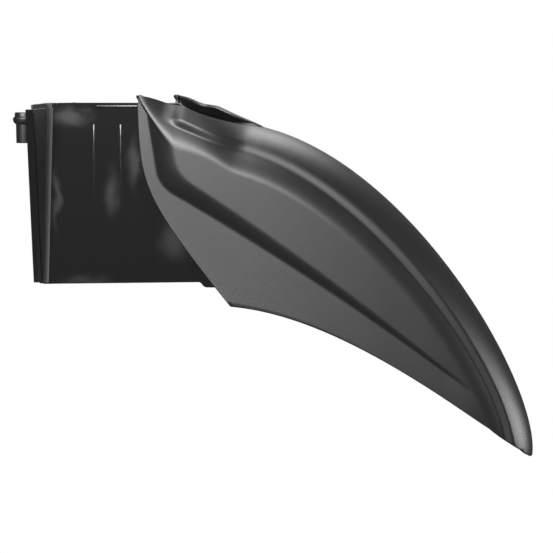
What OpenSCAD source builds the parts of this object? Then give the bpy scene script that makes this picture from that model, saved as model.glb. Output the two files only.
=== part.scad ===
// Front mudguard of a motor scooter, moulded in one piece in black plastic.
// X points forward to the tip of the blade, Z points up, and the guard is symmetric about the XZ plane.
// The origin is the centre of the bolt pattern, on the upper face of the mounting deck.

/* [Blade] */
// Distance from the bolt pattern forward to the tip of the blade
blade_front = 402; // [375:0.5:430]
// Drop from the deck to the tip of the blade
blade_drop = 321; // [300:0.5:345]
// Distance from the bolt pattern forward to the rear corner of a wing
wing_rear = 35.3; // [32:0.1:46]
// Height of the rear corner of a wing above the deck
wing_top = 24; // [18:0.5:26]
// Half width of the blade at the crown level of its rear end
blade_half_w = 90.7; // [84:0.1:110]
// Distance forward to the rear edge of the crown, at the middle of the blade
crown_rear = 141; // [134:1:150]
// Drop from the deck to the rear edge of the crown
crown_drop = 10.7; // [8:0.1:14]
// Wall thickness of the moulding
wall = 2.5; // [2:0.1:3]
// Depth over which the crown turns down into the side, at the rear
shoulder_depth = 48; // [42:1:56]
// Share of the width by which the sides lean inward towards the lower edge
side_lean = 0.06; // [0:0.01:0.1]

/* [Relief of the blade] */
// Step from the crown band down to the side panel
crown_step = 5; // [3:0.5:7]
// Distance from the ridge at which the crown band ends
crown_band = 9; // [7:0.5:12]
// Width of the slope below the crown band
crown_slope = 9; // [6:0.5:12]
// Slope of the panel's edge, as its rise over its run
panel_rise = 0.55; // [0.4:0.01:0.7]
// Width of the slope at the rear end of the panel
panel_rear_slope = 23.5; // [18:0.5:28]

/* [Fork box] */
// Width of the box over its two side walls
box_w = 86; // [78:1:92]
// Distance from the bolt pattern back to the rear wall, at the deck
box_rear = 60; // [54:1:64]
// Distance by which the rear wall leans back from the deck to its foot
box_rake = 4; // [1:0.5:8]
// Height of the side walls above the deck
box_lip = 12.5; // [10:0.5:16]
// Depth of the walls below the deck, at the rear
box_depth = 159.5; // [140:0.5:170]
// Rise of the foot of the side walls towards the front
foot_rise = 2.3; // [0:0.1:4]
// Distance forward to which the flat deck reaches
deck_front = 98; // [92:1:104]
// Thickness of the deck
deck_t = 3; // [2.5:0.1:4]

/* [Bolt pattern] */
// Spacing of the bolt holes along the guard
bolt_x = 60; // [50:1:70]
// Spacing of the bolt holes across the guard
bolt_y = 56; // [50:1:60]
// Radius of a bolt hole
bolt_r = 3.3; // [2.7:0.1:4.3]
// Radius of the opening for the steering stem
stem_r = 21; // [16:0.5:23]

/* [Rear flanges] */
// Distance from the middle to the outer edge of a flange at its top
flange_top_y = 83; // [76:1:88]
// Distance from the middle to the outer edge of a flange at its foot
flange_foot_y = 53; // [49:1:60]
// Height of the flange's outer top corner above the deck
flange_top = 10.5; // [6:0.5:11]
// Height of the stepped strip along the flange's top
flange_strip = 4; // [3:0.5:6]
// Width of the lip that returns rearward along the flange's outer edge
flange_lip = 5; // [3:0.5:8]
// Angle by which the flanges sweep back
flange_sweep = 8.5; // [4:0.5:12]

/* [Cable guide] */
// Distance from the bolt pattern back to the axis of the guide
guide_x = 94; // [88:1:100]
// Outer radius of the guide
guide_r = 9; // [7.5:0.5:10]
// Radius of the guide's bore
guide_bore_r = 5.5; // [4:0.5:6]
// Top of the guide above the deck
guide_top = 5; // [3:0.5:7]
// Foot of the guide below the deck
guide_foot = 26; // [20:1:32]

/* [Hidden] */
$fn = 64;
half_w = box_w / 2;

// Cells along the blade and from its ridge to its lower edge
cells_s = 44;
cells_t = 20;
// Share of the length over which the upper boundary is the fork opening
opening_s = 13 / cells_s;

// Curves of the blade in side view, each with the two ends and the two handles of a cubic curve
opening_curve = [
    [wing_rear, wing_top], [wing_rear + 62, wing_top - 10],
    [crown_rear - 82, 18 - crown_drop], [crown_rear, -crown_drop]];
ridge_curve = [
    opening_curve[3], [crown_rear + 142, -35.7 - crown_drop],
    [blade_front + 8.3, -254], [blade_front, -blade_drop]];
rear_curve = [
    opening_curve[0], [wing_rear + 3.3, -78.5], [wing_rear + 8.3, -76], [wing_rear + 90.3, -179.3]];
lower_curve = [
    rear_curve[3], [wing_rear + 152, -184.8],
    [blade_front - 142, -210.5], [blade_front - 5.5, -blade_drop + 4.5]];

function clamp01(v) = min(1, max(0, v));
function smooth(v) = let (c = clamp01(v)) c * c * (3 - 2 * c);
function soft_min(a, b, k) = let (h = max(k - abs(a - b), 0) / k) min(a, b) - h * h * k / 4;
function cubic(c, u) =
    pow(1 - u, 3) * c[0] + 3 * pow(1 - u, 2) * u * c[1] + 3 * (1 - u) * u * u * c[2] + pow(u, 3) * c[3];

// Upper boundary of the side view: the edge of the fork opening, then the ridge
function upper(s) = s < opening_s
    ? cubic(opening_curve, s / opening_s)
    : cubic(ridge_curve, (s - opening_s) / (1 - opening_s));
function upper_slope(s) =
    let (a = upper(max(0, s - 0.001)), b = upper(min(1, s + 0.001))) (b - a) / norm(b - a);

// Half width of the blade in plan, and of the fork opening
plan_start = wing_rear + 2.7;
function plan_w(x) = blade_half_w * pow(1 - pow(clamp01((x - plan_start) / (blade_front - 2)), 1.8), 0.62);
function opening_w(x) =
    (blade_half_w - 1) * pow(1 - pow(clamp01((x - plan_start) / (crown_rear - plan_start)), 1.35), 0.59);

// Rounding of the shoulder, from the ridge at 0 to the side at 1
round_power = 2.1;
function rounding(q) = pow(1 - pow(1 - clamp01(q), round_power), 1 / round_power);
function unrounding(y) = 1 - pow(1 - pow(clamp01(y), round_power), 1 / round_power);

// Depth below the ridge, square to it, of the point at share t from the ridge to the lower edge
function depth(s, t) =
    let (d = cubic(lower_curve, pow(s, 1.5)) - upper(s), g = upper_slope(s)) t * abs(d[0] * g[1] - d[1] * g[0]);

// Smooth surface of the near half, before its relief
function skin(s, t) =
    let (
        a = upper(s),
        b = cubic(lower_curve, pow(s, 1.5)),
        c = cubic(rear_curve, t) - (1 - t) * rear_curve[0] - t * rear_curve[3],
        p = (1 - t) * a + t * b + pow(1 - s, 3) * c,
        q0 = s < opening_s ? unrounding(opening_w(a[0]) / plan_w(a[0])) : 0,
        q = q0 + depth(s, t) / (shoulder_depth - 18 * s)
    )
    [p[0], -plan_w(p[0]) * rounding(q) * (1 - side_lean * t), p[1]];

// Direction square to the smooth surface, outward
function skin_normal(s, t) =
    let (
        e = 0.002,
        u = skin(min(1, s + e), t) - skin(max(0, s - e), t),
        v = skin(s, min(1, t + e)) - skin(s, max(0, t - e)),
        n = cross(v, u)
    )
    n / norm(n);

// Lower edge of the side panel in side view, and the width of its slope
function panel_edge(x) = -112 - 0.6 * (x - 138.7) - 0.0004 * pow(x - 138.7, 2);
function panel_slope(x) = max(4, 17 - 0.059 * (x - 103));
panel_rear = plan_start + 8.5;
panel_fade = blade_front - 82;

// Depth of the relief below the crown band
function relief(p, d) =
    let (
        rear = (p[0] - panel_rear + 0.16 * p[2]) / panel_rear_slope,
        low = (p[2] - panel_edge(p[0])) * 0.855 / panel_slope(p[0]),
        panel = clamp01(soft_min(rear, low, 0.6)),
        rim = panel_rise * panel_slope(p[0]) * (1 - smooth((p[0] - panel_fade) / 45)),
        band = (1 - smooth((d - crown_band) / crown_slope)) * smooth((p[0] - plan_start - 14) / 26)
    )
    (1 - band) * (crown_step + rim * pow(1 - panel, 2));

// Point of the near half at cell corner i, j, a distance inside the outer face
function blade_point(i, j, inside) =
    let (
        s = i / cells_s,
        t = pow(j / cells_t, 2),
        g = upper_slope(s),
        p = skin(s, t),
        on_ridge = j == 0 && s >= opening_s,
        n = on_ridge ? [-g[1], 0, g[0]] : skin_normal(s, t)
    )
    p - n * (inside + relief(p, depth(s, t)));

// Both halves as one closed skin, with shared points along the ridge
module blade() {
    rows = cells_t + 1;
    layer = (cells_s + 1) * rows;
    near = [for (inside = [0, wall]) for (i = [0:cells_s]) for (j = [0:cells_t]) blade_point(i, j, inside)];
    points = concat(near, [for (p = near) [p[0], -p[1], p[2]]]);
    ridge_start = opening_s * cells_s;
    // Number of a point: side 0 is near and 1 is far, face 0 is outer and 1 is inner
    function at(side, face, i, j) =
        ((j == 0 && i >= ridge_start) ? 0 : side * 2 * layer) + face * layer + i * rows + j;
    function quad(a, b, c, d, flip) = flip ? [[a, c, b], [a, d, c]] : [[a, b, c], [a, c, d]];
    faces = [
        for (side = [0, 1])
            let (far = side == 1)
            each concat(
                [for (face = [0, 1]) for (i = [0:cells_s - 1]) for (j = [0:cells_t - 1])
                    each quad(at(side, face, i, j), at(side, face, i + 1, j), at(side, face, i + 1, j + 1),
                        at(side, face, i, j + 1), far != (face == 1))],
                [for (i = [0:cells_s - 1])
                    each quad(at(side, 0, i, cells_t), at(side, 0, i + 1, cells_t), at(side, 1, i + 1, cells_t),
                        at(side, 1, i, cells_t), far)],
                [for (i = [0:ridge_start - 1])
                    each quad(at(side, 0, i, 0), at(side, 0, i + 1, 0), at(side, 1, i + 1, 0),
                        at(side, 1, i, 0), !far)],
                [for (j = [0:cells_t - 1])
                    each quad(at(side, 0, 0, j), at(side, 0, 0, j + 1), at(side, 1, 0, j + 1),
                        at(side, 1, 0, j), far)],
                [for (j = [0:cells_t - 1])
                    each quad(at(side, 0, cells_s, j), at(side, 0, cells_s, j + 1),
                        at(side, 1, cells_s, j + 1), at(side, 1, cells_s, j), !far)]
            )
    ];
    polyhedron(points, faces);
}

// Line along the middle of the blade's thickness at a distance y from the middle of the guard
function under_crown(s, y) =
    let (
        w = plan_w(upper(s)[0]) * (1 - side_lean * 0.05),
        q = unrounding(y / w) * (shoulder_depth - 18 * s),
        t = q / depth(s, 1),
        p = skin(s, t) - skin_normal(s, t) * (wall / 2 + relief(skin(s, t), q))
    )
    [p[0], p[2]];

// Side wall in side view: lip, underside of the crown, curved front edge and foot
wall_front_s = 0.42;
wall_start_s = opening_s + 0.01;
wall_foot = foot_rise - box_depth;
lean_start = -deck_t / 2;
function wall_outline() = concat(
    [[-box_rear - box_rake, -box_depth], [-box_rear, lean_start], [-box_rear, box_lip], [deck_front - 6, box_lip]],
    [for (k = [0:10]) under_crown(wall_start_s + (wall_front_s - wall_start_s) * k / 10, half_w - wall / 2)],
    [for (k = [1:9]) let (u = k / 9, a = under_crown(wall_front_s, half_w - wall / 2))
        cubic([a, a - [20, 50], [150, -130], [148, wall_foot - 5]], u)],
    [[97, wall_foot - 5], [93.5, wall_foot - 4.2], [91, wall_foot - 2], [88, wall_foot]]
);

// Shallow recess along the top of a side wall, in its outer face
notch_rear = -box_rear + 9;
notch_front = notch_rear + 39;
notch_floor = box_lip - 6;
notch_depth = 1.2;

module side_wall() {
    difference() {
        translate([0, half_w, 0]) rotate([90, 0, 0]) linear_extrude(wall) polygon(wall_outline());
        translate([0, half_w + 1, 0]) rotate([90, 0, 0]) linear_extrude(notch_depth + 1)
            polygon([[notch_rear, notch_floor], [notch_front, notch_floor],
                [notch_front - 6, box_lip + 1], [notch_rear, box_lip + 1]]);
    }
    // Bead along the top edge
    translate([notch_front, half_w - 0.1, box_lip - 4])
        cube([deck_front - 6 - notch_front, 1.6, 2]);
}

module rear_wall() {
    translate([0, half_w, 0]) rotate([90, 0, 0]) linear_extrude(box_w)
        polygon([[-box_rear - box_rake, -box_depth], [-box_rear, lean_start], [-box_rear, box_lip],
            [-box_rear + wall, box_lip], [-box_rear + wall, lean_start], [-box_rear - box_rake + wall, -box_depth]]);
}

module deck() {
    difference() {
        translate([-box_rear, -half_w, -deck_t]) cube([box_rear + deck_front, box_w, deck_t]);
        translate([0, 0, -deck_t - 1]) cylinder(r = stem_r, h = deck_t + 2);
        for (sx = [-1, 1]) for (sy = [-1, 1])
            translate([sx * bolt_x / 2, sy * bolt_y / 2, -deck_t - 1]) cylinder(r = bolt_r, h = deck_t + 2);
    }
}

// Sloping web from the deck to the rear edge of the crown
module apron() {
    steps = 12;
    s0 = 0.89;
    function share(k) = s0 + (1 - s0) * k / steps;
    edge = [for (k = [0:steps]) let (c = cubic(opening_curve, share(k))) [c[0] + 1.5, opening_w(c[0]), c[1] - 1]];
    line = concat([for (k = [0:steps]) edge[k]], [for (k = [1:steps]) let (p = edge[steps - k]) [p[0], -p[1], p[2]]]);
    n = len(line);
    back = [for (p = line) [deck_front - 1, p[1], -0.2]];
    drop = [0, 0, wall];
    points = concat(back, line, [for (p = back) p - drop], [for (p = line) p - drop]);
    faces = concat(
        [for (k = [0:n - 2]) each [[k, n + k + 1, k + 1], [k, n + k, n + k + 1]]],
        [for (k = [0:n - 2]) each [[2 * n + k, 2 * n + k + 1, 3 * n + k + 1], [2 * n + k, 3 * n + k + 1, 3 * n + k]]],
        [for (k = [0:n - 2]) each [[k, k + 1, 2 * n + k + 1], [k, 2 * n + k + 1, 2 * n + k]]],
        [for (k = [0:n - 2]) each [[n + k, 3 * n + k + 1, n + k + 1], [n + k, 3 * n + k, 3 * n + k + 1]]],
        [[0, 3 * n, n], [0, 2 * n, 3 * n]],
        [[n - 1, 4 * n - 1, 3 * n - 1], [n - 1, 2 * n - 1, 4 * n - 1]]
    );
    polyhedron(points, faces);
}

// Flange at a rear corner, leaning back with the rear wall, with its lip returned rearward
module flange() {
    foot = 1.5 - box_depth;
    inner_top = box_lip - 0.6;
    first = flange_foot_y - half_w + wall;
    last = flange_top_y - half_w + wall;
    tilt = atan2(last - first, flange_top - foot);
    strip = wall / cos(tilt);
    step = 0.8;
    function edge(z, inset) = [first + (last - first) * (z - foot) / (flange_top - foot) - inset, z];
    translate([-box_rear + wall, half_w - wall, lean_start]) rotate([0, atan2(box_rake, box_depth + lean_start), 0])
        translate([0, 0, -lean_start]) rotate([0, 0, flange_sweep]) rotate([90, 0, -90]) mirror([1, 0, 0]) {
            linear_extrude(wall)
                polygon([[0.8, foot], edge(foot, strip / 2), edge(flange_top - flange_strip, strip / 2),
                    [0.8, inner_top - flange_strip]]);
            translate([0, 0, step]) linear_extrude(wall - step)
                polygon([[0.8, 0], edge(0, 0.5), edge(flange_top, 0.5), [0.8, inner_top]]);
            linear_extrude(wall + flange_lip)
                polygon([edge(foot, strip), edge(foot, 0), edge(flange_top - flange_strip, 0),
                    edge(flange_top - flange_strip, strip)]);
        }
}

// Hollow boss behind the rear wall, on an arm with a rib below
module cable_guide() {
    collar = 2.6;
    arm_w = 14;
    rib_t = 2.5;
    difference() {
        union() {
            translate([-guide_x, 0, -guide_foot])
                cylinder(r1 = guide_r - 1, r2 = guide_r, h = guide_foot + guide_top);
            translate([-guide_x, 0, -6]) cylinder(r1 = guide_r, r2 = guide_r + collar, h = 2);
            translate([-guide_x, 0, -4]) cylinder(r = guide_r + collar, h = 3);
            translate([-guide_x, -arm_w / 2, -4]) cube([guide_x - box_rear + 1, arm_w, 3]);
            translate([-guide_x, rib_t / 2, 0]) rotate([90, 0, 0]) linear_extrude(rib_t)
                polygon([[0, -20], [0, -3], [guide_x - box_rear + 1, -3], [guide_x - box_rear + 1, -34]]);
        }
        translate([-guide_x, 0, -guide_foot - 1]) cylinder(r = guide_bore_r, h = guide_foot + guide_top + 2);
    }
}

// Stiffening ribs under the deck
module deck_ribs() {
    rib_t = 2;
    rib_h = 9;
    rib_y = bolt_y / 2 + bolt_r + 4.2;
    for (sy = [-1, 1])
        translate([-box_rear + 1, sy * rib_y - rib_t / 2, -deck_t - rib_h])
            cube([box_rear + deck_front - 4, rib_t, rib_h + 1]);
    for (x = [-bolt_x / 2 - 10, bolt_x / 2 + 10, deck_front - 3 - rib_t])
        translate([x, -half_w + 1, -deck_t - rib_h]) cube([rib_t, box_w - 2, rib_h + 1]);
}

module mudguard() {
    color([0.12, 0.12, 0.13]) union() {
        blade();
        rear_wall();
        deck();
        deck_ribs();
        apron();
        cable_guide();
        for (side = [0, 1]) mirror([0, side, 0]) {
            side_wall();
            flange();
        }
    }
}

mudguard();
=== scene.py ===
import math

import bmesh
import bpy
import numpy as np
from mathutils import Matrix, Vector


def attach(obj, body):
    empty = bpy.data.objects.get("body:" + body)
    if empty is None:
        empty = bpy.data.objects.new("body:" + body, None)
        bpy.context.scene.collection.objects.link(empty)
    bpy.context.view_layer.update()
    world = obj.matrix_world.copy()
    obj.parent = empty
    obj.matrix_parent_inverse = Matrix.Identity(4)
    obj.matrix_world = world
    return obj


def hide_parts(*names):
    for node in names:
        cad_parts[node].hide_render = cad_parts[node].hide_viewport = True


# The guard is one black moulding. Its frame is the CAD part's: metres, +X forward to the tip, +Z up.
# Sizes here are in millimetres, as the part's own source has them, and MM turns them into metres.
MM = 0.001

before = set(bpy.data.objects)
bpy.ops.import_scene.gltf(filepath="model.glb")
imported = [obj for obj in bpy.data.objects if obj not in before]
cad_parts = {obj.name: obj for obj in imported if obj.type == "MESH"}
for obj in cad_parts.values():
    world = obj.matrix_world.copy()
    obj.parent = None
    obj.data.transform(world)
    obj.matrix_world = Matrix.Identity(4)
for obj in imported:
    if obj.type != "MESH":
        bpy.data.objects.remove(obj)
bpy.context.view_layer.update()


# Blade: reach ahead of the bolts' centre, drop to the tip, the wing's rear top corner, the half width, and
# the rear edge of the crown
BLADE_FRONT = 402.0
BLADE_DROP = 320.0
WING_REAR = 36.2
WING_TOP = 21.4
BLADE_HALF_W = 90.7
CROWN_REAR = 141.0
CROWN_DROP = 10.7
WALL = 2.5

# Plan of the blade: where it starts to narrow, and the powers of its outline
PLAN_START = 38.0
PLAN_POWER = 1.8
PLAN_ROUND = 0.62

# Fork opening: half width between its flare at the rear and its closed end, the powers of that end, the
# flare's length, and the wing's strip that is left beside the flare
OPENING_W = 67.4
OPENING_POWER = 5.35
OPENING_ROUND = 0.99
FLARE_LENGTH = 33.3
FLARE_STRIP = 1.0

# Section of the blade: depth of the shoulder, how much less of it there is at the tip, the lean of the
# sides, and the power of the shoulder's curve
SHOULDER_DEPTH = 48.0
SHOULDER_LOSS = 18.0
SIDE_LEAN = 0.06
ROUND_POWER = 2.1

# Crown band: its step down to the panel and what the step gains behind the nose, its width and the width at
# the wing, the length of its slope, and the places where it starts, widens and loses the extra step
CROWN_STEP = 5.0
CROWN_STEP_MORE = 1.5
CROWN_BAND = 11.2
CROWN_BAND_REAR = 7.5
CROWN_SLOPE = 5.5
BAND_START, BAND_START_RUN = PLAN_START + 26, 18.0
BAND_WIDEN, BAND_WIDEN_RUN = CROWN_REAR - 60, 62.0
STEP_EASE, STEP_EASE_RUN = BLADE_FRONT - 120, 80.0

# Side panel: rise over the length of the slope round it, and the power of that slope's profile. The slope is
# PANEL_REAR_SLOPE long behind the panel. Below it the slope shortens towards the tip.
PANEL_RISE = 0.55
PANEL_POWER = 1.5
PANEL_REAR_SLOPE = 23.5
LOW_SLOPE, LOW_SLOPE_LEAST = 17.0, 4.0
LOW_SLOPE_START, LOW_SLOPE_LOSS = 103.0, 0.059
# Rim behind the panel: its width at the bolts' height, and its lean
RIM_W = 8.5
RIM_LEAN = 0.16
# Lower edge of the panel: a point on it, its fall and bend there, and the cosine of its slope
PANEL_EDGE = (138.7, -112.0)
PANEL_EDGE_FALL = 0.6
PANEL_EDGE_BEND = 0.0004
PANEL_EDGE_COS = 0.855
# Rounding between the two slopes, and the short blend at their foot that keeps the crease from breaking up
PANEL_CORNER = 0.6
PANEL_FOOT = 0.06
RISE_EASE, RISE_EASE_RUN = BLADE_FRONT - 82, 45.0

# Hem inside the free edges of the wings: thickness, widths along the rear and the top, and its run-out
HEM = 1.4
HEM_REAR_W = 3.0
HEM_TOP_W = 4.6
HEM_RUN = 1.6
HEM_END = 0.06

# Box between the fork legs. It leans back from LEAN_START down to its foot.
BOX_W = 86.0
BOX_REAR = 60.0
BOX_RAKE = 4.0
BOX_LIP = 12.5
BOX_DEPTH = 159.5
FOOT_RISE = 2.3
DECK_FRONT = 52.0
DECK_T = 3.0
BOLT_X = 60.0
BOLT_Y = 56.0
BOLT_R = 3.3
STEM_R = 21.0
RIB_T = 2.0
RIB_H = 9.0
RIB_CLEARANCE = 4.2
HALF_W = BOX_W / 2
WALL_FOOT = FOOT_RISE - BOX_DEPTH
LEAN_START = -DECK_T / 2
REAR_OUTER = [[-BOX_REAR - BOX_RAKE, -BOX_DEPTH], [-BOX_REAR, LEAN_START], [-BOX_REAR, BOX_LIP]]

# Side wall: front end of its lip, the recess in its outer face, and the shallow witness lines of the mould,
# each with its place along the wall and its foot
LIP_FRONT = 47.0
RECESS_REAR = -BOX_REAR + 9
RECESS_FRONT = RECESS_REAR + 39
RECESS_FLOOR = BOX_LIP - 6
RECESS_DEPTH = 1.2
SEAMS = ((-15.0, WALL_FOOT + 1), (11.3, WALL_FOOT + 1), (42.6, WALL_FOOT + 1))
SEAM_TOP = -8.0
SEAM_W = 0.9
SEAM_RISE = 0.05

# Rear flanges: reach to the side at the top and at the foot, height, strip above the step, lip and sweep
FLANGE_TOP_Y = 83.0
FLANGE_FOOT_Y = 53.0
FLANGE_TOP = 10.5
FLANGE_FOOT = 1.5 - BOX_DEPTH
FLANGE_ROOT_TOP = BOX_LIP - 0.5
FLANGE_STRIP = 4.0
FLANGE_STEP = 0.8
FLANGE_FILLET = 4.2
FLANGE_LIP = 5.8
FLANGE_SWEEP = math.radians(8.5)

# Cable guide behind the box
GUIDE_X = 94.0
GUIDE_R = 9.0
GUIDE_BORE_R = 5.5
GUIDE_HEAD = 3.5
GUIDE_FOOT = 26.0
GUIDE_COLLAR = 2.6
GUIDE_ARM_W = 14.0
GUIDE_RIB_T = 2.5

# Curves of the blade in side view: two ends and two handles each. The first takes up OPENING_S of the
# blade's upper boundary and the second the rest.
OPENING_S = 13 / 44
OPENING_CURVE = ((WING_REAR, WING_TOP), (WING_REAR + 17.8, WING_TOP + 13.2),
                 (CROWN_REAR - 73.8, 14.8 - CROWN_DROP), (CROWN_REAR, -CROWN_DROP))
RIDGE_CURVE = (OPENING_CURVE[3], (CROWN_REAR + 142, -35.7 - CROWN_DROP),
               (BLADE_FRONT + 8.3, -254), (BLADE_FRONT, -BLADE_DROP))
REAR_CURVE = (OPENING_CURVE[0], (WING_REAR + 2.6, -68.4),
              (WING_REAR + 0.7, -69.7), (WING_REAR + 89.4, -179.3))
LOWER_CURVE = (REAR_CURVE[3], (WING_REAR + 151.1, -184.8),
               (BLADE_FRONT - 142, -210.5), (BLADE_FRONT - 5.5, -BLADE_DROP + 4.5))
LOWER_PACE = 1.5


def clamp01(v):
    return np.clip(v, 0.0, 1.0)


def smooth(v):
    c = clamp01(v)
    return c * c * (3 - 2 * c)


def soft_min(a, b, k):
    h = np.maximum(k - np.abs(a - b), 0) / k
    return np.minimum(a, b) - h * h * k / 4


def cubic(curve, u):
    """Points of a cubic curve at shares u, on the last axis."""
    c = np.asarray(curve, float)
    u = np.asarray(u, float)[..., None]
    return (1 - u) ** 3 * c[0] + 3 * (1 - u) ** 2 * u * c[1] + 3 * (1 - u) * u * u * c[2] + u ** 3 * c[3]


def upper(s):
    """Upper boundary of the side view: the edge of the fork opening, then the ridge."""
    opening = cubic(OPENING_CURVE, clamp01(s / OPENING_S))
    ridge = cubic(RIDGE_CURVE, clamp01((s - OPENING_S) / (1 - OPENING_S)))
    return np.where((s < OPENING_S)[..., None], opening, ridge)


def upper_slope(s):
    d = upper(np.minimum(1, s + 0.001)) - upper(np.maximum(0, s - 0.001))
    return d / np.linalg.norm(d, axis=-1, keepdims=True)


def plan_w(x):
    """Half width of the blade in plan."""
    share = clamp01((x - PLAN_START) / (BLADE_FRONT - 2))
    return BLADE_HALF_W * (1 - share ** PLAN_POWER) ** PLAN_ROUND


def opening_w(x):
    """Half width of the fork opening in plan, with its edges flared out to the rear corners."""
    share = clamp01((x - PLAN_START) / (CROWN_REAR - PLAN_START))
    flare = 1 - smooth((x - PLAN_START) / FLARE_LENGTH)
    middle = OPENING_W * (1 - share ** OPENING_POWER) ** OPENING_ROUND
    return middle + (BLADE_HALF_W - FLARE_STRIP - OPENING_W) * flare


def rounding(q):
    return (1 - (1 - clamp01(q)) ** ROUND_POWER) ** (1 / ROUND_POWER)


def unrounding(y):
    return 1 - (1 - clamp01(y) ** ROUND_POWER) ** (1 / ROUND_POWER)


def depth(s, t):
    """Depth below the ridge, square to it."""
    d = cubic(LOWER_CURVE, s ** LOWER_PACE) - upper(s)
    g = upper_slope(s)
    return t * np.abs(d[..., 0] * g[..., 1] - d[..., 1] * g[..., 0])


def skin(s, t):
    """Smooth surface of the near half, before its relief."""
    s = np.minimum(1, np.maximum(0, s))
    t = np.minimum(1, np.maximum(0, t))
    a = upper(s)
    b = cubic(LOWER_CURVE, s ** LOWER_PACE)
    rear = np.asarray(REAR_CURVE, float)
    c = cubic(REAR_CURVE, t) - (1 - t)[..., None] * rear[0] - t[..., None] * rear[3]
    p = (1 - t)[..., None] * a + t[..., None] * b + ((1 - s) ** 3)[..., None] * c
    q0 = np.where(s < OPENING_S, unrounding(opening_w(a[..., 0]) / plan_w(a[..., 0])), 0.0)
    q = q0 + depth(s, t) / (SHOULDER_DEPTH - SHOULDER_LOSS * s)
    y = -plan_w(p[..., 0]) * rounding(q) * (1 - SIDE_LEAN * t)
    return np.stack([p[..., 0], y, p[..., 1]], axis=-1)


def skin_normal(s, t):
    e = 0.002
    u = skin(s + e, t) - skin(s - e, t)
    v = skin(s, t + e) - skin(s, t - e)
    n = np.cross(v, u)
    return n / np.linalg.norm(n, axis=-1, keepdims=True)


def relief(p, d):
    """Depth of the relief at points of the skin whose depth below the ridge is d."""
    x, z = p[..., 0], p[..., 2]
    slope = np.maximum(LOW_SLOPE_LEAST, LOW_SLOPE - LOW_SLOPE_LOSS * (x - LOW_SLOPE_START))
    ahead = x - PANEL_EDGE[0]
    edge = PANEL_EDGE[1] - PANEL_EDGE_FALL * ahead - PANEL_EDGE_BEND * ahead ** 2
    rear = (x - (PLAN_START + RIM_W) + RIM_LEAN * z) / PANEL_REAR_SLOPE
    low = (z - edge) * PANEL_EDGE_COS / slope
    panel = soft_min(rear, low, PANEL_CORNER)
    blend = np.where(panel < -PANEL_FOOT, 0.0, (panel + PANEL_FOOT) ** 2 / (4 * PANEL_FOOT))
    panel = clamp01(np.where(panel < PANEL_FOOT, blend, panel))
    rise = PANEL_RISE * slope * (1 - smooth((x - RISE_EASE) / RISE_EASE_RUN))
    width = CROWN_BAND_REAR + (CROWN_BAND - CROWN_BAND_REAR) * smooth((x - BAND_WIDEN) / BAND_WIDEN_RUN)
    band = (1 - smooth((d - width) / CROWN_SLOPE)) * smooth((x - BAND_START) / BAND_START_RUN)
    step = CROWN_STEP + CROWN_STEP_MORE * (1 - smooth((x - STEP_EASE) / STEP_EASE_RUN))
    return (1 - band) * (step + rise * (1 - panel) ** PANEL_POWER)


def blade_faces(s, t):
    """Outer face and outward normals of the near half on the grid of s and t."""
    p = skin(s, t)
    n = skin_normal(s, t)
    ridge = (t == 0) & (s >= OPENING_S)
    g = upper_slope(s)
    on_ridge = np.stack([-g[..., 1], np.zeros_like(s), g[..., 0]], axis=-1)
    n = np.where(ridge[..., None], on_ridge, n)
    return p - n * relief(p, depth(s, t))[..., None], n


def hem(s, t, outer):
    """Extra thickness inside along the rear edge and the edge of the fork opening."""
    from_rear = outer[..., 0] - outer[:1, :, 0]
    from_top = depth(s, t)
    near_rear = 1 - smooth((from_rear - HEM_REAR_W) / HEM_RUN)
    near_top = 1 - smooth((from_top - HEM_TOP_W) / HEM_RUN)
    fade = 1 - smooth((s - OPENING_S + HEM_END) / HEM_END)
    return HEM * np.maximum(near_rear, near_top * fade)


def grid_quads(rows, cols, start=0):
    """Quads of a grid whose points run along its columns first."""
    i, j = np.meshgrid(np.arange(rows - 1), np.arange(cols - 1), indexing="ij")
    a = start + i * cols + j
    return np.stack([a, a + cols, a + cols + 1, a + 1], axis=-1).reshape(-1, 4)


def mesh_object(name, points, faces, smooth_shade=True):
    mesh = bpy.data.meshes.new(name)
    mesh.from_pydata((np.asarray(points) * MM).tolist(), [], [list(map(int, f)) for f in faces])
    mesh.validate()
    mesh.polygons.foreach_set("use_smooth", [smooth_shade] * len(mesh.polygons))
    mesh.update()
    obj = bpy.data.objects.new(name, mesh)
    bpy.context.scene.collection.objects.link(obj)
    return obj


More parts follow.
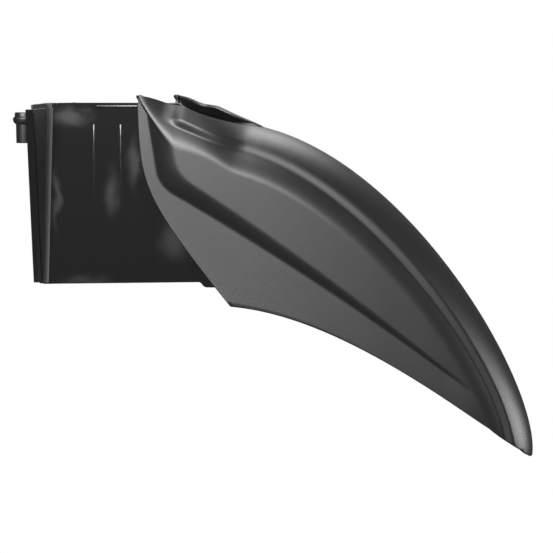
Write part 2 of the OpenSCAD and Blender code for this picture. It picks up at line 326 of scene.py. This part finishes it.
def blade():
    """Both halves of the blade as one closed shell with fully rounded free edges."""
    rows, cols, steps = 221, 111, 6
    bulge = 0.9
    s_opening = int(round(OPENING_S * (rows - 1)))
    s_list = np.concatenate([OPENING_S * np.linspace(0, 1, s_opening, endpoint=False) ** 1.2,
                             np.linspace(OPENING_S, 1, rows - s_opening)])
    t_list = np.linspace(0, 1, cols) ** 1.6
    s, t = np.meshgrid(s_list, t_list, indexing="ij")
    outer, n = blade_faces(s, t)
    inner = outer - n * (WALL + hem(s, t, outer))[..., None]
    outer, inner = outer.reshape(-1, 3), inner.reshape(-1, 3)
    count = rows * cols

    # Free edges: the lower edge is the last column and the nose the last row. The edge of the opening is the
    # first column and the rear edge the first row.
    lower = [(i, cols - 1) for i in range(rows - 1)] + [(rows - 1, j) for j in range(cols - 1, -1, -1)]
    rear = [(i, 0) for i in range(s_opening, 0, -1)] + [(0, j) for j in range(cols)]

    def inward(i, j):
        """Index of the neighbour of an edge point inside the grid."""
        if j == cols - 1:
            return i * cols + j - 1
        if i == rows - 1:
            return (i - 1) * cols + j
        if i == 0:
            return cols + j
        return i * cols + 1

    quads = grid_quads(rows, cols)
    near, far = np.array([1, 1, 1]), np.array([1, -1, 1])
    points = [outer * near, inner * near, outer * far, inner * far]
    faces = [quads, quads[:, ::-1] + count, quads[:, ::-1] + 2 * count, quads + 3 * count]
    next_index = 4 * count
    for base, flip in ((0, near), (2 * count, far)):
        for path in (lower, rear):
            index = np.array([i * cols + j for i, j in path])
            o, q = outer[index] * flip, inner[index] * flip
            out_dir = o - outer[[inward(i, j) for i, j in path]] * flip
            normal = (o - q) / np.linalg.norm(o - q, axis=1, keepdims=True)
            out_dir -= normal * (out_dir * normal).sum(1, keepdims=True)
            out_dir /= np.linalg.norm(out_dir, axis=1, keepdims=True)
            rings = [base + index]
            for k in range(1, steps):
                a = math.pi * k / steps
                across, out = WALL / 2 * math.cos(a), WALL / 2 * bulge * math.sin(a)
                points.append((o + q) / 2 + normal * across + out_dir * out)
                rings.append(next_index + np.arange(len(index)))
                next_index += len(index)
            rings.append(base + count + index)
            for a, b in zip(rings[:-1], rings[1:]):
                strip = np.stack([a[:-1], b[:-1], b[1:], a[1:]], axis=1)
                faces.append(strip if flip is near else strip[:, ::-1])
    obj = mesh_object("blade", np.concatenate(points), np.concatenate(faces))
    weld(obj)
    return obj


def weld(obj, distance=0.00002):
    """Joins points that meet, and turns all faces outwards."""
    b = bmesh.new()
    b.from_mesh(obj.data)
    bmesh.ops.remove_doubles(b, verts=b.verts, dist=distance)
    bmesh.ops.dissolve_degenerate(b, edges=b.edges, dist=distance / 4)
    bmesh.ops.recalc_face_normals(b, faces=b.faces)
    b.to_mesh(obj.data)
    b.free()


def shell(name, outer, inner, steps=5):
    """Closed shell between two grids of points, with a rounded rim all round."""
    rows, cols = outer.shape[:2]
    count = rows * cols
    o, q = outer.reshape(-1, 3), inner.reshape(-1, 3)
    quads = grid_quads(rows, cols)
    faces = [quads, quads[:, ::-1] + count]
    loop = ([i * cols for i in range(rows)] + [(rows - 1) * cols + j for j in range(1, cols)]
            + [i * cols + cols - 1 for i in range(rows - 2, -1, -1)] + [j for j in range(cols - 2, 0, -1)])
    index = np.array(loop)
    i, j = index // cols, index % cols
    step_in = np.clip(i, 1, rows - 2) * cols + np.clip(j, 1, cols - 2)
    out_dir = o[index] - o[step_in]
    span = o[index] - q[index]
    size = np.linalg.norm(span, axis=1, keepdims=True)
    normal = span / size
    out_dir -= normal * (out_dir * normal).sum(1, keepdims=True)
    out_dir /= np.linalg.norm(out_dir, axis=1, keepdims=True)
    mid = (o[index] + q[index]) / 2
    rings, extra = [index], []
    for k in range(1, steps):
        a = math.pi * k / steps
        extra.append(mid + normal * (size / 2 * math.cos(a)) + out_dir * (size / 2 * 0.8 * math.sin(a)))
        rings.append(2 * count + (k - 1) * len(index) + np.arange(len(index)))
    rings.append(index + count)
    for a, b in zip(rings[:-1], rings[1:]):
        faces.append(np.stack([a, b, np.roll(b, -1), np.roll(a, -1)], axis=1))
    obj = mesh_object(name, np.concatenate([o, q] + extra), np.concatenate(faces))
    weld(obj, 0.000001)
    return obj


def rounded_plate(name, outline, start, end, axis, radius=0.6, steps=4):
    """Flat plate over a closed outline, from start to end along an axis, with rounded rims."""
    pts = np.asarray(outline, float)
    area = (pts[:, 0] * np.roll(pts[:, 1], -1) - np.roll(pts[:, 0], -1) * pts[:, 1]).sum()
    if area < 0:
        pts = pts[::-1]
    ahead = np.roll(pts, -1, 0) - pts
    ahead /= np.linalg.norm(ahead, axis=1, keepdims=True)
    back = np.roll(ahead, 1, 0)
    n1 = np.stack([-ahead[:, 1], ahead[:, 0]], 1)
    n2 = np.stack([-back[:, 1], back[:, 0]], 1)
    inward = (n1 + n2) / np.maximum(0.35, 1 + (n1 * n2).sum(1, keepdims=True))
    angles = np.linspace(0, math.pi / 2, steps + 1)
    rings = [(radius * (1 - math.sin(a)), start + radius * (1 - math.cos(a))) for a in angles]
    rings += [(radius * (1 - math.sin(a)), end - radius * (1 - math.cos(a))) for a in angles[::-1]]
    n = len(pts)
    points, faces = [], []
    for inset, level in rings:
        flat = pts + inward * inset
        level = np.full(n, level)
        points.append(np.stack({"x": (level, flat[:, 0], flat[:, 1]), "y": (flat[:, 0], level, flat[:, 1]),
                                "z": (flat[:, 0], flat[:, 1], level)}[axis], axis=1))
    index = np.arange(n)
    for k in range(len(rings) - 1):
        a, b = index + k * n, index + (k + 1) * n
        faces += np.stack([a, np.roll(a, -1), np.roll(b, -1), b], axis=1).tolist()
    caps = [index[::-1].tolist(), (index + (len(rings) - 1) * n).tolist()]
    obj = mesh_object(name, np.concatenate(points), faces + caps)
    weld(obj, 0.0000001)
    for face in obj.data.polygons:
        face.use_smooth = len(face.vertices) == 4
    return obj


def cut(obj, tools):
    """Takes the tools out of an object and removes them."""
    for tool in tools:
        step = obj.modifiers.new("cut", "BOOLEAN")
        step.operation = "DIFFERENCE"
        step.solver = "EXACT"
        step.object = tool
    graph = bpy.context.evaluated_depsgraph_get()
    mesh = bpy.data.meshes.new_from_object(obj.evaluated_get(graph))
    obj.modifiers.clear()
    old = obj.data
    obj.data = mesh
    bpy.data.meshes.remove(old)
    for tool in tools:
        bpy.data.objects.remove(tool)
    return obj


def mirrored(obj, name):
    """Copy of a piece on the other side of the XZ plane."""
    mesh = obj.data.copy()
    for v in mesh.vertices:
        v.co.y = -v.co.y
    mesh.flip_normals()
    twin = bpy.data.objects.new(name, mesh)
    bpy.context.scene.collection.objects.link(twin)
    return twin


def revolved(name, profile, centre, segments=72):
    """Closed ring about an upright axis. The profile is a closed outline of radius and height."""
    turn = np.linspace(0, 2 * math.pi, segments, endpoint=False)
    profile = np.asarray(profile, float)
    r, z = profile[:, 0], profile[:, 1]
    points = np.stack([centre[0] + np.outer(np.cos(turn), r), centre[1] + np.outer(np.sin(turn), r),
                       np.broadcast_to(z, (segments, len(z)))], axis=-1)
    m = len(profile)
    i, j = np.meshgrid(np.arange(segments), np.arange(m), indexing="ij")
    a, b = i * m + j, (i + 1) % segments * m + j
    c, d = (i + 1) % segments * m + (j + 1) % m, i * m + (j + 1) % m
    obj = mesh_object(name, points.reshape(-1, 3), np.stack([a, b, c, d], axis=-1).reshape(-1, 4))
    weld(obj, 0.0000001)
    return obj


def rounded_outline(points, radii, steps=5):
    """Outline with each corner turned into an arc of its own radius."""
    points = [np.asarray(p, float) for p in points]
    out = []
    for k, p in enumerate(points):
        a, b, r = points[k - 1], points[(k + 1) % len(points)], radii[k]
        if r <= 0:
            out.append(p)
            continue
        u, v = (a - p) / np.linalg.norm(a - p), (b - p) / np.linalg.norm(b - p)
        half = math.acos(float(np.clip(u @ v, -1, 1))) / 2
        start, end = p + u * r / math.tan(half), p + v * r / math.tan(half)
        mid = p + (u + v) / np.linalg.norm(u + v) * (r / math.sin(half))
        first = math.atan2(*(start - mid)[::-1])
        sweep = (math.atan2(*(end - mid)[::-1]) - first + math.pi) % (2 * math.pi) - math.pi
        for j in range(steps + 1):
            t = first + sweep * j / steps
            out.append(mid + r * np.array([math.cos(t), math.sin(t)]))
    return out


def under_crown(s, y):
    """Middle of the blade's thickness in side view, at a distance y from the middle of the guard."""
    s = np.asarray(s, float)
    w = plan_w(upper(s)[..., 0]) * (1 - SIDE_LEAN * 0.05)
    q = unrounding(y / w) * (SHOULDER_DEPTH - SHOULDER_LOSS * s)
    t = q / depth(s, np.ones_like(s))
    p = skin(s, t)
    p = p - skin_normal(s, t) * (WALL / 2 + relief(p, q))[..., None]
    return p[..., [0, 2]]


def side_wall():
    """Near wall of the box, with the recess and the bead along its top edge, and its witness lines."""
    crown = under_crown(np.linspace(OPENING_S + 0.01, 0.42, 40), HALF_W - WALL / 2)
    a = crown[-1]
    front = cubic([a, a - [20, 50], [150, -130], [148, WALL_FOOT - 5]], np.linspace(0, 1, 24)[1:])
    lip_end = rounded_outline([[0, BOX_LIP], [LIP_FRONT, BOX_LIP], [72, -1.5], [130, -14]],
                              [0, 8, 25, 0], 6)[1:-1]
    # The tab at the front of the foot runs back into it in a small ogee
    tab = [[97, -5], [95.2, -4.9], [93.6, -4.3], [92.4, -3.3], [91.3, -1.8], [90.2, -0.7], [88.6, 0]]
    outline = REAR_OUTER + lip_end + crown.tolist() + front.tolist() + [[x, WALL_FOOT + z] for x, z in tab]
    wall = rounded_plate("side_wall_right", outline, -HALF_W, -HALF_W + WALL, "y", 0.5)
    recess = rounded_outline([[RECESS_REAR, RECESS_FLOOR], [RECESS_FRONT, RECESS_FLOOR],
                              [RECESS_FRONT - 6, BOX_LIP + 3], [RECESS_REAR, BOX_LIP + 3]], [0.8, 2.5, 0, 0])
    cut(wall, [rounded_plate("recess_tool", recess, -HALF_W - 3, -HALF_W + RECESS_DEPTH, "y", 0.05)])
    bead = [[RECESS_FRONT, BOX_LIP - 4], [LIP_FRONT, BOX_LIP - 4],
            [LIP_FRONT - 2, BOX_LIP - 2], [RECESS_FRONT, BOX_LIP - 2]]
    parts = [wall, rounded_plate("bead_right", bead, -HALF_W - 1.5, -HALF_W + 0.5, "y", 0.7)]
    for k, (x, foot) in enumerate(SEAMS):
        line = [[x, foot], [x + SEAM_W, foot], [x + SEAM_W, SEAM_TOP], [x, SEAM_TOP]]
        parts.append(rounded_plate("witness_line_%d_right" % (k + 1), line,
                                   -HALF_W - SEAM_RISE, -HALF_W + 0.5, "y", 0.06))
    return parts


def rake_at(z):
    """Distance by which the rear of the box lies behind its lip at height z."""
    return BOX_RAKE * np.maximum(0, LEAN_START - z) / (BOX_DEPTH + LEAN_START)


def flange():
    """Near flange: a sheet that leaves the wall in a fillet, with a step along its top, and its lip."""
    sin, cos = math.sin(FLANGE_SWEEP), math.cos(FLANGE_SWEEP)
    first, last = FLANGE_FOOT_Y - HALF_W + WALL, FLANGE_TOP_Y - HALF_W + WALL
    root = np.array([-BOX_REAR + WALL, -HALF_W + WALL])
    along, rearward = np.array([-sin, -cos]), np.array([-cos, sin])

    def reach(z):
        return first + (last - first) * (z - FLANGE_FOOT) / (FLANGE_TOP - FLANGE_FOOT)

    def at(distance, back, z):
        """Point of the flange at a distance from its root and behind its front face."""
        x, y = root[:, None] + np.outer(along, distance) + np.outer(rearward, back)
        return np.stack([x - rake_at(z), y, z], axis=-1)

    turn = np.linspace(0, math.pi / 2 + FLANGE_SWEEP, 13)[:-1]
    shares = np.linspace(0, 1, 25)
    m = len(turn)
    top = FLANGE_ROOT_TOP + (FLANGE_TOP - FLANGE_ROOT_TOP) * np.concatenate([np.zeros(m), shares])
    flat_start = WALL / cos + FLANGE_FILLET * (1 - sin) / cos
    arc_n = np.stack([np.sin(turn), -np.cos(turn)], axis=1)
    rise = np.concatenate([[0, 0.003, 0.008], np.linspace(0.02, 0.95, 40), np.linspace(0.955, 1, 28)])
    outer, inner = [], []
    for v in rise:
        z = FLANGE_FOOT + (top - FLANGE_FOOT) * v
        # The fillet's centre lies a radius off the wall and off the front face of the flange
        back_x = -BOX_REAR + WALL - rake_at(z[:m]) - WALL * math.tan(FLANGE_SWEEP)
        centre_x = back_x + FLANGE_FILLET * (1 - sin) / cos
        arc = np.stack([centre_x - FLANGE_FILLET * np.sin(turn),
                        -HALF_W - FLANGE_FILLET + FLANGE_FILLET * np.cos(turn)], axis=1)
        # Its start is sunk a little into the wall
        arc[:, 1] += 0.06 * np.cos(turn) ** 4
        under_arc = np.column_stack([arc - arc_n * WALL, z[:m]])
        recess = FLANGE_STEP * smooth((z - (top - FLANGE_STRIP - 0.25)) / 0.5)
        arc = np.column_stack([arc - arc_n * (recess[:m] * np.sin(turn))[:, None], z[:m]])
        distance = flat_start + (reach(z[m:]) - WALL / 2 - flat_start) * shares
        outer.append(np.concatenate([arc, at(distance, recess[m:], z[m:])]))
        inner.append(np.concatenate([under_arc, at(distance, np.full(len(shares), WALL), z[m:])]))
    sheet = shell("flange_right", np.array(outer), np.array(inner))
    return [sheet, flange_lip(reach, at)]


def flange_lip(reach, at):
    """Lip down the outer edge of the near flange, behind its front face, with crisp rounded rims."""
    foot, top = FLANGE_FOOT, FLANGE_TOP - FLANGE_STRIP
    lip_depth = WALL + FLANGE_LIP
    section = np.array(rounded_outline([[0, 0], [0, lip_depth], [-WALL, lip_depth], [-WALL, 0]],
                                       [0.5, 0.9, 0.9, 0.5], 3))
    middle = np.array([-WALL / 2, lip_depth / 2])
    half = np.abs(section - middle).max(1, keepdims=True)
    levels = [(foot, 0.5), (foot + 0.15, 0.15), (foot + 0.5, 0)]
    levels += [(z, 0) for z in np.linspace(foot + 5, top - 5, 12)]
    levels += [(top - 0.5, 0), (top - 0.15, 0.15), (top, 0.5)]
    points, faces = [], []
    index = np.arange(len(section))
    for k, (z, inset) in enumerate(levels):
        shrunk = section + (middle - section) * (inset / half)
        height = np.full(len(section), z)
        points.append(at(reach(height) + shrunk[:, 0], shrunk[:, 1], height))
        if k:
            a, b = index + (k - 1) * len(index), index + k * len(index)
            faces += np.stack([a, np.roll(a, -1), np.roll(b, -1), b], axis=1).tolist()
    faces += [index[::-1].tolist(), (index + (len(levels) - 1) * len(index)).tolist()]
    lip = mesh_object("flange_lip_right", np.concatenate(points), faces)
    weld(lip, 0.0000001)
    keep_flat(lip)
    return lip


def keep_flat(obj, angle=30):
    """Smooth shading, with edges sharper than an angle kept crisp."""
    b = bmesh.new()
    b.from_mesh(obj.data)
    for edge in b.edges:
        if len(edge.link_faces) == 2:
            edge.smooth = edge.calc_face_angle(0) < math.radians(angle)
    for face in b.faces:
        face.smooth = True
    b.to_mesh(obj.data)
    b.free()


def box_middle():
    """Rear wall, deck with its holes and ribs, and the web from the deck to the crown."""
    y = HALF_W - WALL / 2
    rear = [[x + WALL, z] for x, z in REAR_OUTER[::-1]]
    out = [rounded_plate("rear_wall", REAR_OUTER + rear, -y, y, "y", 0.5)]
    back, front = -BOX_REAR + 1, DECK_FRONT - 3
    deck = rounded_plate("deck", [[back, -y], [DECK_FRONT, -y], [DECK_FRONT, y], [back, y]],
                         -DECK_T, 0, "z", 0.2)
    tools = [cylinder(0, 0, STEM_R, -DECK_T - 2, 2, 96)]
    for sx in (-1, 1):
        for sy in (-1, 1):
            tools.append(cylinder(sx * BOLT_X / 2, sy * BOLT_Y / 2, BOLT_R, -DECK_T - 2, 2, 48))
    cut(deck, tools)
    keep_flat(deck)
    out.append(deck)
    bottom, top = -DECK_T - RIB_H, -DECK_T + 1
    rib_y = BOLT_Y / 2 + BOLT_R + RIB_CLEARANCE
    for name, sy in (("right", -1), ("left", 1)):
        out.append(rounded_plate("rib_along_" + name,
                                 [[back, bottom], [front, bottom], [front, top], [back, top]],
                                 sy * rib_y - RIB_T / 2, sy * rib_y + RIB_T / 2, "y", 0.5))
    for k, x in enumerate((-BOLT_X / 2 - 10, BOLT_X / 2 + 10, front - RIB_T)):
        out.append(rounded_plate("rib_across_%d" % (k + 1), [[-y, bottom], [y, bottom], [y, top], [-y, top]],
                                 x, x + RIB_T, "x", 0.5))
    out.append(apron())
    return out


def apron():
    """Sloping web from the deck to the rear edge of the crown."""
    share = np.linspace(0.8, 1, 400)
    share = share[opening_w(cubic(OPENING_CURVE, share)[:, 0]) < HALF_W - 1][::6]
    edge = cubic(OPENING_CURVE, np.append(share, 1.0))
    y = opening_w(edge[:, 0])
    line = np.stack([edge[:, 0] + 1.5, -y, edge[:, 1] - 1.2], axis=1)
    line = np.concatenate([line, line[-2::-1] * [1, -1, 1]])
    back = np.stack([np.full(len(line), DECK_FRONT - 1), line[:, 1], np.full(len(line), -0.2)], axis=1)
    u = np.linspace(0, 1, 12)[:, None, None]
    upper_face = back[None] * (1 - u) + line[None] * u
    return shell("apron", upper_face, upper_face - [0, 0, WALL], 4)


def cylinder(x, y, radius, bottom, top, segments):
    bpy.ops.mesh.primitive_cylinder_add(vertices=segments, radius=radius * MM, depth=(top - bottom) * MM,
                                        location=(x * MM, y * MM, (top + bottom) / 2 * MM))
    return bpy.context.object


def cable_guide():
    """Hollow boss with a collar behind the rear wall, on an arm with a rib below."""
    r, b = GUIDE_R, GUIDE_BORE_R
    outline = [(b, -GUIDE_FOOT), (r - 1, -GUIDE_FOOT), (r - 0.6, -8), (r + GUIDE_COLLAR - 1, -6.3),
               (r + GUIDE_COLLAR, -2.5), (r + 0.6, -0.5), (r + 0.6, GUIDE_HEAD), (b, GUIDE_HEAD)]
    ring = revolved("guide_boss", rounded_outline(outline, [0.5, 0.8, 1, 1.6, 1.6, 0.5, 1.2, 0.5], 4),
                    (-GUIDE_X, 0))
    keep_flat(ring)
    start, end, half = -GUIDE_X + b + 1.2, -BOX_REAR + 1, GUIDE_ARM_W / 2
    arm = rounded_plate("guide_arm", [[start, -half], [end, -half], [end, half], [start, half]],
                        -4, -1.2, "z", 0.5)
    rib = rounded_plate("guide_rib", [[start, -19], [start, -3], [end, -3], [end, -34]],
                        -GUIDE_RIB_T / 2, GUIDE_RIB_T / 2, "y", 0.5)
    return [ring, arm, rib]


# Patches of the walls where the mould's polish is duller: middle and half sizes along X and Z. Their
# borders wander by up to DULL_WANDER, and their middles are DULL_ROUGHNESS rougher than the wall.
DULL_PATCHES = ((-38, -1, 30, 12), (3, -72, 11, 34), (25, -45, 10, 36),
                (66, -118, 24, 32), (-22, -158, 38, 11), (-52, -78, 7, 45))
DULL_WANDER = 20.0
DULL_ROUGHNESS = 0.1


def dull_share(tree, place, patches):
    """Share of dullness, 1 in the middle of a patch and fading out unevenly to its border."""
    wobble = tree.nodes.new("ShaderNodeTexNoise")
    wobble.inputs["Scale"].default_value = 45
    wobble.inputs["Detail"].default_value = 3
    tree.links.new(place.outputs["Object"], wobble.inputs["Vector"])
    shift = tree.nodes.new("ShaderNodeVectorMath")
    shift.operation = "MULTIPLY_ADD"
    shift.inputs[1].default_value = (DULL_WANDER * MM,) * 3
    tree.links.new(wobble.outputs["Color"], shift.inputs[0])
    tree.links.new(place.outputs["Object"], shift.inputs[2])
    share = None
    for x, z, half_x, half_z in patches:
        place_in = tree.nodes.new("ShaderNodeMapping")
        middle_x, middle_z = x + DULL_WANDER / 2, z + DULL_WANDER / 2
        place_in.inputs["Location"].default_value = (-middle_x / half_x, 0, -middle_z / half_z)
        place_in.inputs["Scale"].default_value = (1 / (half_x * MM), 0, 1 / (half_z * MM))
        tree.links.new(shift.outputs["Vector"], place_in.inputs["Vector"])
        away = tree.nodes.new("ShaderNodeVectorMath")
        away.operation = "LENGTH"
        tree.links.new(place_in.outputs["Vector"], away.inputs[0])
        fade = tree.nodes.new("ShaderNodeMapRange")
        fade.interpolation_type = "SMOOTHSTEP"
        for socket, value in (("From Min", 0.1), ("From Max", 1.0), ("To Min", 1.0), ("To Max", 0.0)):
            fade.inputs[socket].default_value = value
        tree.links.new(away.outputs["Value"], fade.inputs["Value"])
        if share is None:
            share = fade.outputs["Result"]
        else:
            larger = tree.nodes.new("ShaderNodeMath")
            larger.operation = "MAXIMUM"
            tree.links.new(share, larger.inputs[0])
            tree.links.new(fade.outputs["Result"], larger.inputs[1])
            share = larger.outputs["Value"]
    return share


def plastic(name, colour, roughness, grain, grain_scale, mottle, patches=()):
    """Moulded black plastic: a fine grain, a slow change of gloss over the surface, and duller patches."""
    mat = bpy.data.materials.new(name)
    mat.use_nodes = True
    tree = mat.node_tree
    shader = tree.nodes["Principled BSDF"]
    shader.inputs["Base Color"].default_value = (*colour, 1)
    shader.inputs["Specular IOR Level"].default_value = 0.5
    place = tree.nodes.new("ShaderNodeTexCoord")
    fine = tree.nodes.new("ShaderNodeTexNoise")
    fine.inputs["Scale"].default_value = grain_scale
    fine.inputs["Detail"].default_value = 2
    tree.links.new(place.outputs["Object"], fine.inputs["Vector"])
    bump = tree.nodes.new("ShaderNodeBump")
    bump.inputs["Strength"].default_value = grain
    bump.inputs["Distance"].default_value = 0.0002
    tree.links.new(fine.outputs["Fac"], bump.inputs["Height"])
    tree.links.new(bump.outputs["Normal"], shader.inputs["Normal"])
    slow = tree.nodes.new("ShaderNodeTexNoise")
    slow.inputs["Scale"].default_value = 18
    slow.inputs["Detail"].default_value = 3
    tree.links.new(place.outputs["Object"], slow.inputs["Vector"])
    gloss = tree.nodes.new("ShaderNodeMapRange")
    gloss.inputs["To Min"].default_value = roughness - mottle
    gloss.inputs["To Max"].default_value = roughness + mottle
    tree.links.new(slow.outputs["Fac"], gloss.inputs["Value"])
    result = gloss.outputs["Result"]
    if patches:
        duller = tree.nodes.new("ShaderNodeMath")
        duller.operation = "MULTIPLY_ADD"
        duller.inputs[1].default_value = DULL_ROUGHNESS
        tree.links.new(dull_share(tree, place, patches), duller.inputs[0])
        tree.links.new(result, duller.inputs[2])
        result = duller.outputs["Value"]
    tree.links.new(result, shader.inputs["Roughness"])
    return mat


# Point that the softboxes aim at, and the floor, in metres
AIM = Vector((0.15, 0, -0.14))
FLOOR_Z = -0.62
FLOOR_RADIUS = 1.5

# Softboxes: name, azimuth and elevation in degrees, distance, width and height in metres, and power in watts
LIGHTS = (("key", -15, 18, 2.0, 1.1, 0.5, 74),
          ("right", 100, 5, 2.0, 0.9, 0.9, 40),
          ("front", -16, 50, 2.2, 1.2, 1.4, 29),
          ("overhead", -90, 82, 1.7, 0.9, 1.0, 15),
          ("behind", -165, 42, 2.0, 1.2, 0.8, 16))


def area_light(name, azimuth, elevation, distance, width, height, power):
    """A softbox aimed at the middle of the guard. Azimuth 0 is square to the near side."""
    a, e = math.radians(azimuth), math.radians(elevation)
    away = Vector((math.sin(a) * math.cos(e), -math.cos(a) * math.cos(e), math.sin(e)))
    data = bpy.data.lights.new(name, "AREA")
    data.shape = "RECTANGLE"
    data.size = width
    data.size_y = height
    data.energy = power
    lamp = bpy.data.objects.new(name, data)
    lamp.location = AIM + away * distance
    lamp.rotation_euler = away.to_track_quat("Z", "Y").to_euler()
    bpy.context.scene.collection.objects.link(lamp)
    return lamp


def world_and_floor():
    """Dim world that the camera sees as white, and a floor that is pale for the camera alone."""
    world = bpy.data.worlds.new("studio")
    bpy.context.scene.world = world
    world.use_nodes = True
    tree = world.node_tree
    background = tree.nodes["Background"]
    path = tree.nodes.new("ShaderNodeLightPath")
    seen = tree.nodes.new("ShaderNodeMath")
    seen.operation = "MAXIMUM"
    tree.links.new(path.outputs["Is Camera Ray"], seen.inputs[0])
    tree.links.new(path.outputs["Is Transmission Ray"], seen.inputs[1])
    colour = tree.nodes.new("ShaderNodeMix")
    colour.data_type = "RGBA"
    colour.inputs["A"].default_value = (0.1, 0.1, 0.103, 1)
    colour.inputs["B"].default_value = (1, 1, 1, 1)
    tree.links.new(seen.outputs["Value"], colour.inputs["Factor"])
    tree.links.new(colour.outputs["Result"], background.inputs["Color"])

    bpy.ops.mesh.primitive_circle_add(vertices=96, radius=FLOOR_RADIUS, fill_type="NGON",
                                      location=(AIM.x, AIM.y, FLOOR_Z))
    floor = bpy.context.object
    floor.name = "floor"
    mat = bpy.data.materials.new("pale_floor")
    mat.use_nodes = True
    tree = mat.node_tree
    shader = tree.nodes["Principled BSDF"]
    shader.inputs["Roughness"].default_value = 0.9
    shader.inputs["Specular IOR Level"].default_value = 0.1
    path = tree.nodes.new("ShaderNodeLightPath")
    colour = tree.nodes.new("ShaderNodeMix")
    colour.data_type = "RGBA"
    colour.inputs["A"].default_value = (0.1, 0.1, 0.1, 1)
    colour.inputs["B"].default_value = (0.86, 0.86, 0.86, 1)
    tree.links.new(path.outputs["Is Camera Ray"], colour.inputs["Factor"])
    tree.links.new(colour.outputs["Result"], shader.inputs["Base Color"])
    floor.data.materials.append(mat)


# The photograph's view, in its own frame of 553 by 553 pixels
IMAGE = 553
VIEW_AZIMUTH = 14.0
VIEW_ELEVATION = 1.0
VIEW_DISTANCE = 12.0
PX_PER_MM = 1.05
ORIGIN_PX = (120.0, 116.0)


def camera():
    a, e = math.radians(VIEW_AZIMUTH), math.radians(VIEW_ELEVATION)
    back = Vector((math.sin(a) * math.cos(e), -math.cos(a) * math.cos(e), math.sin(e)))
    right = Vector((math.cos(a), math.sin(a), 0))
    up = back.cross(right)
    across = (IMAGE / 2 - ORIGIN_PX[0]) / PX_PER_MM * MM
    down = (IMAGE / 2 - ORIGIN_PX[1]) / PX_PER_MM * MM
    aim = right * across - up * down
    data = bpy.data.cameras.new("camera")
    data.sensor_width = 36
    data.lens = data.sensor_width * PX_PER_MM / MM * VIEW_DISTANCE / IMAGE
    data.clip_end = 50
    obj = bpy.data.objects.new("camera", data)
    obj.location = aim + back * VIEW_DISTANCE
    obj.rotation_euler = back.to_track_quat("Z", "Y").to_euler()
    bpy.context.scene.collection.objects.link(obj)
    bpy.context.scene.camera = obj


# Finishes of the one plastic: colour, roughness, grain and its scale, and how much the gloss varies
GRAINED = plastic("grained_plastic", (0.006, 0.006, 0.0062), 0.42, 0.4, 1400, 0.03)
SMOOTH = plastic("smooth_plastic", (0.006, 0.006, 0.0062), 0.1, 0.01, 500, 0.01)
WALLS = plastic("wall_plastic", (0.006, 0.006, 0.0062), 0.1, 0.01, 500, 0.01, DULL_PATCHES)
# The fourth copy is the same black plastic with a colour ten times lighter: painted sheen that stands in for
# the light the flange sheets reflect.
FLANGE_PAINTED_SHEEN = plastic("flange_painted_sheen_plastic", (0.06, 0.06, 0.0616), 0.32, 0.1, 900, 0.02)

walls = side_wall()
flanges = flange()
pieces = [(blade(), GRAINED)]
# The flange sheets take the lighter copy with painted sheen, and their lips take the smooth plastic.
sides = [(part, WALLS) for part in walls] + list(zip(flanges, (FLANGE_PAINTED_SHEEN, SMOOTH)))
pieces += sides
pieces += [(mirrored(part, part.name.replace("_right", "_left")), material) for part, material in sides]
pieces += [(part, SMOOTH) for part in box_middle()]
pieces += [(part, GRAINED) for part in cable_guide()]
for part, material in pieces:
    part.data.materials.clear()
    part.data.materials.append(material)
    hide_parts("mudguard")
    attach(part, "root")

camera()
world_and_floor()
for light in LIGHTS:
    area_light(*light)
bpy.context.scene.view_settings.view_transform = "Standard"
